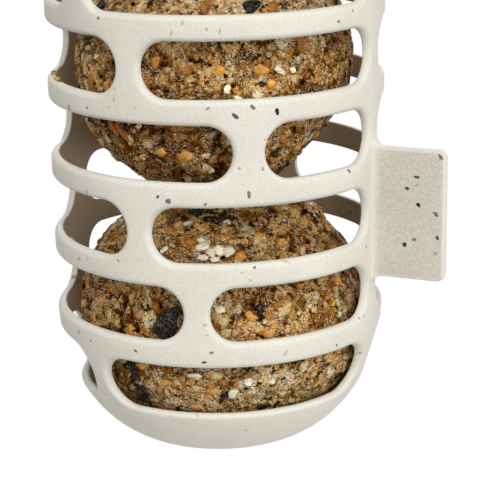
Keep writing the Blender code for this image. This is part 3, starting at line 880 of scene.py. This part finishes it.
# Bits that show through the slots: kind, degrees round from the tab, height over the ball's middle in mm,
# length and width in mm, tilt in degrees
LOWER_BITS = (
    ("husk", -87, 6.2, 10.6, 5.6, 60), ("flake", -75, 23, 3.5, 2.5, 20), ("flake", -70, 21.8, 3, 2.5, -30),
    ("flake", -66, 22.2, 3.5, 3, 0), ("flake", -61, 22.1, 3.5, 3, 40), ("flake", -74, 20.8, 3, 2, 0),
    ("flake", -68, 20.4, 2.6, 1.6, 15), ("flake", -95, 21.8, 2.5, 1.6, 60), ("flake", -88, 27, 2.4, 1.4, 40),
    ("maize", -55, 21, 3.4, 3, 0), ("maize", -42, 24.5, 2.8, 2.6, 0), ("maize", -30, 22.7, 3, 2.4, 30),
    ("wheat", -100, 25.7, 3.6, 3.2, 30), ("maize", -95, 26.8, 3, 2, 60), ("wheat", -67, 24.7, 2.6, 2.2, 0),
    ("groat", -21, 20, 3, 1.6, 40), ("millet", -9, 18.9, 1.2, 0.9, 0), ("lentil", -65, 6.4, 4, 3.4, 0),
    ("lentil", -64, 3.7, 3.4, 2.6, 30), ("flake", -66, 9.4, 2.4, 2, 0), ("maize", -54, 7.6, 3, 2, -50),
    ("maize", -46, 2.6, 4, 2.2, 10), ("groat", -40, 7.8, 3.4, 3, 0), ("wheat", -42, 9.5, 3, 2.2, 60),
    ("maize", -7, 11.3, 3, 2.4, 0), ("wheat", -93, 9.5, 2.4, 2.2, 0), ("wheat", -101, 6.8, 3, 2.4, 90),
    ("maize", -105, 2.4, 3.4, 2, 80), ("maize", -70, -11.9, 3.6, 2.8, 0), ("flake", -77, -7.4, 4, 1.4, 0),
    ("flake", -55, -9.4, 2, 2.4, 0), ("flake", -45, -10.1, 1.8, 1.8, 0),
    ("husk", -65, -13.5, 5, 0.8, 65), ("husk", -46, -17.6, 4, 1.6, 10), ("lentil", -68, -7.5, 3.6, 2.2, 0),
    ("millet", -21, -14.1, 2.2, 0.7, 50), ("maize", -100, -6.6, 3, 2, 0),
)
MIDDLE_BITS = (
    ("maize", -80, -15.3, 5, 4.6, 0), ("maize", -91, -14.6, 3.6, 3.2, 0), ("wheat", -108, -10.5, 7, 2, -55),
    ("wheat", -113, -9.6, 5, 1.6, -60), ("wheat", -27, 10.5, 6, 4, -10), ("maize", -48, 5.9, 4.6, 2.6, -5),
    ("maize", -44, 2.4, 3, 2.6, 0), ("millet", -110, 19.7, 1.4, 1.6, 60), ("lentil", -130, 8.7, 2, 1.6, 0),
    ("maize", -114, 0.9, 3.4, 2.6, 50), ("maize", -90, 8.1, 3, 2.4, 60), ("wheat", -78, 6.3, 3, 4, 80),
    ("maize", -64, 6.1, 3.4, 3, 0), ("flake", -41, 5.5, 3.2, 1.6, -40), ("flake", -35, 5.2, 1.6, 1.6, 0),
    ("flake", -50, 0, 3.4, 2, -30), ("husk", -48, 20.2, 5, 3, 20), ("husk", -48, 2.6, 2, 1.4, 0),
    ("husk", -132, 18.8, 4, 2.6, 0), ("wheat", -70, 20.7, 5, 2.4, 70), ("wheat", -38, 19.4, 5, 3.4, 60),
    ("wheat", -80, -10, 3, 2.4, 0), ("groat", -96, -12.5, 2.6, 2, 0), ("groat", -71, -14.7, 2.4, 2, 0),
    ("groat", -71, -18.1, 2.4, 2, 0), ("wheat", -125, 1.4, 4, 2.4, 70),
)
# Streaks of dark chaff: degrees and height in mm at either end, and the number of bits
CHAFF_STREAKS = (
    ((-93, 29, -57, 27.6, 34), (-105.5, -5, -101.5, -19, 34), (2, 26, 10, 24.6, 7)), (), (),
)
LOOSE_BITS = 190
LOOSE_REACH = 28.0
LOOSE_LENGTHS = (1.6, 3.2)
LOOSE_SLIMNESS = (0.5, 0.9)
CHAFF_LENGTHS = (1.0, 2.6)
CHAFF_SLIMNESS = (0.3, 0.65)
CHAFF_STRAY = (1.3, 0.6)
# How far bits stand out and how much finer crumb sticks to them: those listed, then those anywhere
PLACED_STAND = 0.65 * MM
PLACED_CRUMB = 0.28
LOOSE_STAND = 0.45 * MM
LOOSE_CRUMB = 0.35
BARE_CRUMB = {"flake": 0.11, "husk": 0.06, "chaff": 0.1}


def ball_bits(dice, placed, streaks, losses):
    """Points, faces and colours of the bits that stand out of a ball's crumb."""
    wanted = list(placed)
    for turn, height, last_turn, last_height, count in streaks:
        for share in dice.uniform(0.0, 1.0, count):
            length = dice.uniform(*CHAFF_LENGTHS)
            beside = turn + (last_turn - turn) * share + dice.normal(0.0, CHAFF_STRAY[0])
            above = height + (last_height - height) * share + dice.normal(0.0, CHAFF_STRAY[1])
            width = length * dice.uniform(*CHAFF_SLIMNESS)
            wanted.append(("chaff", beside, above, length, width, dice.uniform(0.0, 180.0)))
    shown = len(wanted)
    shares = np.array([share for _, _, _, share in BIT_KINDS.values()])
    for kind in dice.choice(list(BIT_KINDS), LOOSE_BITS, p=shares / shares.sum()):
        height = dice.uniform(-LOOSE_REACH, LOOSE_REACH)
        length = dice.uniform(*LOOSE_LENGTHS)
        turn = dice.uniform(-180.0, 180.0)
        width = length * dice.uniform(*LOOSE_SLIMNESS)
        wanted.append((kind, turn, height, length, width, dice.uniform(0.0, 180.0)))
    points, faces, paint = [], [], []
    for number, (kind, turn, height, length, width, tilt) in enumerate(wanted):
        stand, crumbly = (PLACED_STAND, PLACED_CRUMB) if number < shown else (LOOSE_STAND, LOOSE_CRUMB)
        a, t = math.radians(turn), math.radians(tilt)
        rise = min(abs(height) * MM / BALL_HALF_HEIGHT, 0.99)
        level = BALL_RADIUS * (1.0 - rise**BALL_SQUARENESS) ** (1.0 / BALL_SQUARENESS)
        middle = pecked(np.array([[level * math.cos(a), level * math.sin(a), height * MM]]), losses)
        out, side, up = (axis[0] for axis in surface_frame(middle))
        along = side * math.cos(t) + up * math.sin(t)
        form = bit(dice, kind, length * MM, width * MM)
        place = middle[0] + out * (stand - form[:, 2].max())
        first = len(points)
        points.extend(place + form @ np.array((along, np.cross(out, along), out)))
        faces += [tuple(first + i for i in face) for face in BIT_FACES]
        tone = np.array(BIT_KINDS[kind][0][:3]) * dice.uniform(0.88, 1.12)
        mottle = dice.uniform(0.8, 1.15, len(form))
        bare = np.full((len(form), 1), BARE_CRUMB.get(kind, crumbly))
        paint.extend(np.hstack([np.outer(mottle, tone), bare]))
    return np.array(points), faces, np.array(paint)


def pressed_crumb():
    """Greasy pressed crumb: the grains' own colours, broken up by finer crumbs, with painted shade in gaps
    and pits, painted glints, and a dull fat shine.
    """
    finish, shader, spot, _ = new_finish("pressed_crumb")
    colour = painted(finish, "crumb_colour", "Color")
    crumbly = painted(finish, "crumb_colour", "Alpha")
    wobble = spot.grain(900.0, output="Color")
    cells = {"Vector": wobble.vector("MULTIPLY_ADD", FINE_CRUMB_WOBBLE, spot), "Scale": FINE_CRUMBS}
    crumbs = spot.through("ShaderNodeTexVoronoi", cells, "Color", feature="F1")
    gap = spot.through("ShaderNodeTexVoronoi", cells, "Distance", feature="DISTANCE_TO_EDGE")
    red, green, blue = crumbs.split("Color")
    fine = spot.grain(2900.0, 2.0, 0.6)
    pits = spot.grain(540.0, 3.0, 0.6)
    glint_patches = spot.grain(230.0)
    # Layers of finer crumb: paler and browner crumbs, painted shade in the gaps, in fine specks and in pits,
    # and painted glints in patches
    layers = (
        (red.grade(0.6, 1.0, 0.0, 0.55), card(238, 208, 154)),
        (green.grade(0.6, 1.0, 0.0, 0.5), card(124, 76, 26)),
        (gap.grade(0.13, 0.0) * pits.grade(0.6, 0.42), card(34, 17, 5)),
        # Painted glints: pale specks in patches.
        (fine.grade(0.55, 0.62) * glint_patches.grade(0.42, 0.6, 0.15, 0.95), card(255, 238, 196)),
        (fine.grade(0.45, 0.36, 0.0, 0.6), card(50, 26, 7)),
        (pits.grade(0.43, 0.36) * glint_patches.grade(0.6, 0.42, 0.35, 0.97), card(30, 13, 3)),
    )
    for share, layer_colour in layers:
        colour = (share * crumbly).tint(colour, layer_colour)
    paleness = colour.through("ShaderNodeRGBToBW", {"Color": colour})
    # Painted shade: dark crumb takes a warmer hue.
    shade_warmth = paleness.grade(0.4, 0.02) * crumbly.grade(0.1, 0.5)
    colour = shade_warmth.tint(colour, PAINTED_SHADE_HUE, "MULTIPLY")

    rough = blue.grade(0.1, 0.5, 0.16, 0.7)
    shine = blue.grade(0.1, 0.2, 0.6, 0.03).reckon("MAXIMUM", paleness.grade(0.5, 0.8, 0.0, 0.8))
    husk_glints = crumbly.grade(0.14, 0.08) * fine.grade(0.48, 0.6, 0.04, 0.7)
    shine = (shine * paleness.grade(0.05, 0.3)).reckon("MAXIMUM", husk_glints)
    height = gap.grade(0.0, 0.25) * 0.7 + fine + blue * 0.7 + pits.grade(0.31, 0.46) * 1.2
    normal = (height * crumbly.grade(0.0, 1.0, 0.25, 1.0)).bump(1.0, 0.42 * MM)
    feed(shader, {"Base Color": colour, "Roughness": rough, "Specular IOR Level": shine, "Normal": normal})
    return finish


def crumb_piece(name, parts, finish):
    """One object from several lots of points, faces and colours."""
    points = np.concatenate([lot[0] for lot in parts])
    paint = np.concatenate([lot[2] for lot in parts])
    faces, first = [], 0
    for lot in parts:
        faces += [tuple(first + i for i in face) for face in lot[1]]
        first += len(lot[0])
    mesh = bpy.data.meshes.new(name)
    mesh.from_pydata(points.tolist(), [], faces)
    mesh.attributes.new("crumb_colour", "FLOAT_COLOR", "POINT").data.foreach_set("color", paint.ravel())
    mesh.shade_smooth()
    mesh.materials.append(finish)
    return new_object(name, mesh)


crumb = pressed_crumb()
PLACED_BITS = (LOWER_BITS, MIDDLE_BITS, ())
BALL_SEED = 21
GRAIN_EDGE_SEED = 5
noise.seed_set(GRAIN_EDGE_SEED)
for number, body in enumerate(BALL_BODIES):
    dice = np.random.default_rng(BALL_SEED + number)
    low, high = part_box(body)
    losses = BALL_LOSSES[number]
    mass = crumb_mass(dice, losses, BALL_LIGHT_AND_SHADE[number])
    bits = ball_bits(dice, PLACED_BITS[number], CHAFF_STREAKS[number], losses)
    centre = np.array((low + high) / 2)
    half = (high.z - low.z) / 2
    for points, _, _ in (mass, bits):
        points[:, 2] = np.clip(points[:, 2], -half, half)
        points += centre
    ball = crumb_piece(body + "_crumb", (mass, bits), crumb)
    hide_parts(body)
    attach(ball, body)


# Spilt crumbs: a few bits off the middle ball, caught on the edge of the fifth row's slot on the side away
# from the tab. They lie loose, stuck to the plastic by their own fat.

# Kind, degrees round from the tab, length and width in mm, tilt in degrees
SPILT_BITS = (
    ("lentil", -152, 1.4, 1.1, 20), ("groat", -148.5, 1.7, 1.2, 70), ("flake", -145, 1.5, 1.1, 130),
    ("groat", -141.5, 1.4, 1.0, 10), ("maize", -138.5, 1.8, 1.3, 60), ("wheat", -136, 1.2, 0.9, 100),
)
SPILT_ROW = 4
SPILT_DEPTH = 0.75 * WALL
SPILT_SINK = 0.1 * MM
SPILT_SEED = 41
spilt_height = SECOND_SLOT_TOP + (SPILT_ROW - 1) * ROW_PITCH - SLOT_HEIGHT
spilt = ([], [], [])
dice = np.random.default_rng(SPILT_SEED)
for kind, turn, length, width, tilt in SPILT_BITS:
    form = bit(dice, kind, length * MM, width * MM)
    a, t = math.radians(turn), math.radians(tilt)
    reach = wall_radius(spilt_height) - SPILT_DEPTH
    middle = (reach * math.cos(a), reach * math.sin(a), spilt_height - form[:, 2].min() - SPILT_SINK)
    tilted = form @ np.array(((math.cos(t), math.sin(t), 0), (-math.sin(t), math.cos(t), 0), (0, 0, 1)))
    first = len(spilt[0])
    spilt[0].extend(tilted + middle)
    spilt[1].extend(tuple(first + i for i in face) for face in BIT_FACES)
    spilt[2].extend([(*BIT_KINDS[kind][0][:3], LOOSE_CRUMB)] * len(form))
crumbs = crumb_piece("spilt_crumbs", [(np.array(spilt[0]), spilt[1], np.array(spilt[2]))], crumb)
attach(crumbs, "cage_and_bail")


# Bail: one length of drawn steel wire, bent cold. Its ends hook outwards through two holes under the rim,
# the straight legs guide the lid, and the small crown hangs on a hook.

WIRE_RADIUS = 1.25 * MM
LEG_RADIUS = 38.0 * MM
HOOK_BEND_RADIUS = 3.5 * MM
HOOK_TIP = 46.3 * MM
SHOULDER_RADIUS = 26.0 * MM
CROWN_RADIUS = 6.0 * MM
LEG_TOP = 281.9 * MM
WIRE_CHAMFER = 0.3 * MM
WIRE_SIDES = 20
BEND_STEPS = 12
LEG_STEPS = 12
SHOULDER_STEPS = 24
CROWN_STEPS = 14
DIE_LINES = (4000.0, 4000.0, 60.0)


def arc(centre, radius, start, end, steps):
    """Points on a circle in a plane, from one angle to another in degrees, both ends included."""
    angles = [math.radians(start + (end - start) * i / steps) for i in range(steps + 1)]
    return [(centre[0] + radius * math.cos(a), centre[1] + radius * math.sin(a)) for a in angles]


def wire_route():
    """The wire's centre line from one hook over the crown to the other, as distances out and heights."""
    bend_top = HOOK_HEIGHT + HOOK_BEND_RADIUS
    bend = arc((LEG_RADIUS + HOOK_BEND_RADIUS, bend_top), HOOK_BEND_RADIUS, 270, 180, BEND_STEPS)
    leg_step = (LEG_TOP - HOOK_HEIGHT) / LEG_STEPS
    leg = [(LEG_RADIUS, bend_top + leg_step * i) for i in range(1, LEG_STEPS - 1)]
    inner = LEG_RADIUS - SHOULDER_RADIUS
    shoulder = arc((inner, LEG_TOP), SHOULDER_RADIUS, 0, 90, SHOULDER_STEPS)
    neck = inner - CROWN_RADIUS
    crown_height = LEG_TOP + SHOULDER_RADIUS + neck
    turn = arc((inner, crown_height), neck, 270, 180, BEND_STEPS)[1:]
    crown = arc((0.0, crown_height), CROWN_RADIUS, 0, 90, CROWN_STEPS)[1:]
    half = [(HOOK_TIP, HOOK_HEIGHT)] + bend + leg + shoulder + turn + crown
    return half + [(-reach, height) for reach, height in half[-2::-1]]


def wire_skin():
    """The round wire, with its cut ends slightly broken."""
    route = wire_route()
    last = len(route) - 1
    skin = Skin()
    rings = []
    for number, (reach, height) in enumerate(route):
        before = route[max(number - 1, 0)]
        after = route[min(number + 1, last)]
        run = math.hypot(after[0] - before[0], after[1] - before[1])
        ahead = ((after[0] - before[0]) / run, (after[1] - before[1]) / run)
        steps = [(0.0, WIRE_RADIUS)]
        if number == 0:
            steps = [(0.0, WIRE_RADIUS - WIRE_CHAMFER), (WIRE_CHAMFER, WIRE_RADIUS)]
        if number == last:
            steps = [(-WIRE_CHAMFER, WIRE_RADIUS), (0.0, WIRE_RADIUS - WIRE_CHAMFER)]
        for shift, radius in steps:
            row = []
            for i in range(WIRE_SIDES):
                a = math.tau * i / WIRE_SIDES
                beside = radius * math.cos(a)
                x = reach + ahead[0] * shift - ahead[1] * beside
                row.append((x, radius * math.sin(a), height + ahead[1] * shift + ahead[0] * beside))
            rings.append(skin.lay(row))
    skin.join(rings)
    skin.faces += [tuple(rings[0]), tuple(rings[-1])]
    return skin


def drawn_steel():
    """Grey steel wire with fine die lines, dulled in patches."""
    finish, shader, spot, _ = new_finish("drawn_steel")
    dull = spot.grain(45.0, 4.0, 0.6)
    lines = spot.vector("MULTIPLY", DIE_LINES).grain(1.0)
    colour = dull.grade(0.35, 0.7).tint(card(136, 136, 134), card(116, 115, 112))
    rough = lines * 0.18 + dull.grade(0.3, 0.75, 0.26, 0.44)
    normal = lines.bump(0.25, 0.03 * MM)
    feed(shader, {"Base Color": colour, "Metallic": 1.0, "Roughness": rough, "Normal": normal})
    return finish


bail = closed_piece("bail_wire", wire_skin(), sharp=40.0)
bail.data.materials.append(drawn_steel())
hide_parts("wire_bail")
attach(bail, "cage_and_bail")


# Lid: a domed rain roof moulded in the same flecked plastic. A collar under it fits over the cage's rim,
# and two holes let it slide up the bail's legs for filling.

LID_SEAT = 206.2 * MM
LID_RADIUS = 52.0 * MM
LID_UNDER_RADIUS = 49.8 * MM
LID_RISE = 24.0 * MM
LID_UNDER_RISE = 21.8 * MM
LID_LIP = 1.6 * MM
COLLAR_INSIDE = 43.8 * MM
COLLAR_OUTSIDE = 45.6 * MM
COLLAR_DEPTH = 7.0 * MM
SEAT_INSIDE = 40.5 * MM
LEG_HOLE_RADIUS = 1.7 * MM
LID_STEPS = 120
DOME_RINGS = 30
EAVE_RINGS = 8
LIP_STEPS = 10
LID_FLECK_SEED = 31
LID_EDGE = -LID_UNDER_RISE * math.sqrt(1.0 - (SEAT_INSIDE / LID_UNDER_RADIUS) ** 2)


def dome(radius, rise, inner, outer, rings):
    """Points of the roof's curve between two radii, from the inner one outwards."""
    low, high = math.asin(inner / radius), math.asin(outer / radius)
    turns = [low + (high - low) * i / rings for i in range(rings + 1)]
    return [(radius * math.sin(t), LID_EDGE + rise * math.cos(t)) for t in turns]


def lid_profile():
    """From the crown to the rounded lip, then the underside with its collar and seat back to the axis."""
    lip_round = (LID_RADIUS - LID_UNDER_RADIUS) / 2
    lip = arc((LID_RADIUS - lip_round, LID_EDGE - LID_LIP + lip_round), lip_round, 0, -180, LIP_STEPS)
    collar_round = (COLLAR_OUTSIDE - COLLAR_INSIDE) / 2
    collar_middle = (COLLAR_OUTSIDE - collar_round, collar_round - COLLAR_DEPTH)
    collar = arc(collar_middle, collar_round, 0, -180, LIP_STEPS)
    eave = dome(LID_UNDER_RADIUS, LID_UNDER_RISE, COLLAR_OUTSIDE, LID_UNDER_RADIUS, EAVE_RINGS)[::-1]
    seat = [(COLLAR_INSIDE, 0.0), (SEAT_INSIDE, 0.0)]
    ceiling = dome(LID_UNDER_RADIUS, LID_UNDER_RISE, 0.0, SEAT_INSIDE, DOME_RINGS)[::-1]
    roof = dome(LID_RADIUS, LID_RISE, 0.0, LID_RADIUS, DOME_RINGS)
    return roof + lip + eave[1:] + collar + seat + ceiling[1:]


def turned(profile, base, steps):
    """A profile of distances out and heights over a base, turned about the cage's axis."""
    angles = [math.tau * i / steps for i in range(steps + 1)]
    skin = Skin()
    skin.join([skin.lay(ring(reach, base + height, angles)) for reach, height in profile], closed=False)
    return skin


lid = closed_piece("lid_moulding", turned(lid_profile(), LID_SEAT, LID_STEPS), sharp=40.0)
for side in (1, -1):
    drill(lid, LEG_HOLE_RADIUS, 4 * LID_RISE, (side * LEG_RADIUS, 0, LID_SEAT))
lid_dice = np.random.default_rng(LID_FLECK_SEED)
mark_flecks(lid.data, scattered_flecks(lid.data, lid_dice, lambda centre, facing: False))
lid.data.materials.append(plastic)
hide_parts("lid")
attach(lid, "lid")


# Studio: a round pale floor well under the hanging feeder, soft boxes in front, at the sides, behind and
# above, and a white surround. The camera stands a little above the bowl, to the tab's side of its front.

FLOOR_HEIGHT = -120.0 * MM
FLOOR_RADIUS = 210.0 * MM
FLOOR_FADE = 90.0 * MM
FLOOR_EDGE = 3.0 * MM
FLOOR_STEPS = 96
FLOOR_RINGS = 8
FLOOR_EDGE_STEPS = 6
WHITE = (1.0, 1.0, 1.0, 1.0)


def shown_white(tree):
    """Whether a ray is the camera's, a reflection's or a clear piece's: these see a white surround."""
    ray = tree.nodes.new("ShaderNodeLightPath").outputs
    seen = Value(ray["Is Camera Ray"]).reckon("MAXIMUM", Value(ray["Is Glossy Ray"]))
    return seen.reckon("MAXIMUM", Value(ray["Is Transmission Ray"]))


def whiten(tree, share, plain, glow, end):
    """Lets a surface or the surround show as plain white, by a share."""
    white = add(tree, glow, {"Color": WHITE, "Strength": 1.0})
    inputs = {0: share, 1: Value(plain.outputs[0]), 2: Value(white.outputs[0])}
    feed(tree.nodes[end], {"Surface": share.through("ShaderNodeMixShader", inputs)})


floor_profile = [(FLOOR_RADIUS * i / FLOOR_RINGS, 0.0) for i in range(FLOOR_RINGS)]
floor_profile += arc((FLOOR_RADIUS - FLOOR_EDGE, -FLOOR_EDGE), FLOOR_EDGE, 90, 0, FLOOR_EDGE_STEPS)
floor = closed_piece("floor", turned(floor_profile, FLOOR_HEIGHT, FLOOR_STEPS))
board, shader, spot, _ = new_finish("pale_board")
paper = spot.grain(400.0, 3.0)
pale = paper.tint(card(236, 235, 232), card(242, 241, 239))
feed(shader, {"Base Color": pale, "Roughness": paper.grade(0.3, 0.7, 0.7, 0.85)})
reach = spot.vector("MULTIPLY", (1.0, 1.0, 0.0)).vector("LENGTH", output=1)
fade = shown_white(board.node_tree) * reach.grade(FLOOR_FADE, FLOOR_RADIUS, 0.5, 1.0)
whiten(board.node_tree, fade, shader, "ShaderNodeEmission", "Material Output")
floor.data.materials.append(board)

# Square soft boxes aimed at the cage's middle: turn from the front and height in degrees, power in watts
SOFT_BOXES = {
    "key_box": (45.0, 9.0, 8.0),
    "tab_side_box": (110.0, 10.0, 5.8),
    "far_front_box": (-20.0, 22.0, 3.0),
    "far_side_box": (-55.0, 32.0, 5.0),
    "back_box": (203.5, 25.0, 8.0),
    "high_front_box": (40.0, 38.0, 8.0),
    "top_box": (20.0, 72.0, 1.2),
}
BOX_DISTANCE = 1.3
BOX_SIZE = 0.9
CAGE_MIDDLE = Vector((0.0, 0.0, 0.1))
for name, (turn, height, power) in SOFT_BOXES.items():
    lamp = bpy.data.lights.new(name, "AREA")
    lamp.shape = "SQUARE"
    lamp.size = BOX_SIZE
    lamp.energy = power
    box = new_object(name, lamp)
    a, e = math.radians(turn), math.radians(height)
    aim = Vector((math.sin(a) * math.cos(e), -math.cos(a) * math.cos(e), math.sin(e)))
    box.location = aim * BOX_DISTANCE + CAGE_MIDDLE
    box.rotation_euler = aim.to_track_quat("Z", "Y").to_euler()
    box.visible_camera = False

ROOM_LIGHT = 0.02
world = bpy.data.worlds.new("white_surround")
world.use_nodes = True
tree = world.node_tree
room = tree.nodes["Background"]
feed(room, {"Color": WHITE, "Strength": ROOM_LIGHT})
whiten(tree, shown_white(tree), room, "ShaderNodeBackground", "World Output")
bpy.context.scene.world = world

# The photograph's camera: focal length in pixels of its frame, and place before its turn round the cage
IMAGE_SIDE = 480.0
FOCAL_LENGTH = 1827.0
SENSOR_WIDTH = 36.0
CAMERA_TURN = math.radians(23.5)
CAMERA_DIP = math.radians(15.54)
CAMERA_ROLL = math.radians(-0.87)
CAMERA_PLACE = (5.44 * MM, -458.9 * MM, 178.5 * MM)
lens = bpy.data.cameras.new("camera")
lens.sensor_width = SENSOR_WIDTH
lens.lens = FOCAL_LENGTH / IMAGE_SIDE * SENSOR_WIDTH
lens.clip_start = 0.01
camera = new_object("camera", lens)
about_axis = Matrix.Rotation(CAMERA_TURN, 4, "Z")
tilt = Matrix.Rotation(math.pi / 2 - CAMERA_DIP, 4, "X") @ Matrix.Rotation(CAMERA_ROLL, 4, "Z")
camera.matrix_world = about_axis @ Matrix.Translation(CAMERA_PLACE) @ tilt
bpy.context.scene.camera = camera
bpy.context.scene.view_settings.view_transform = "Standard"
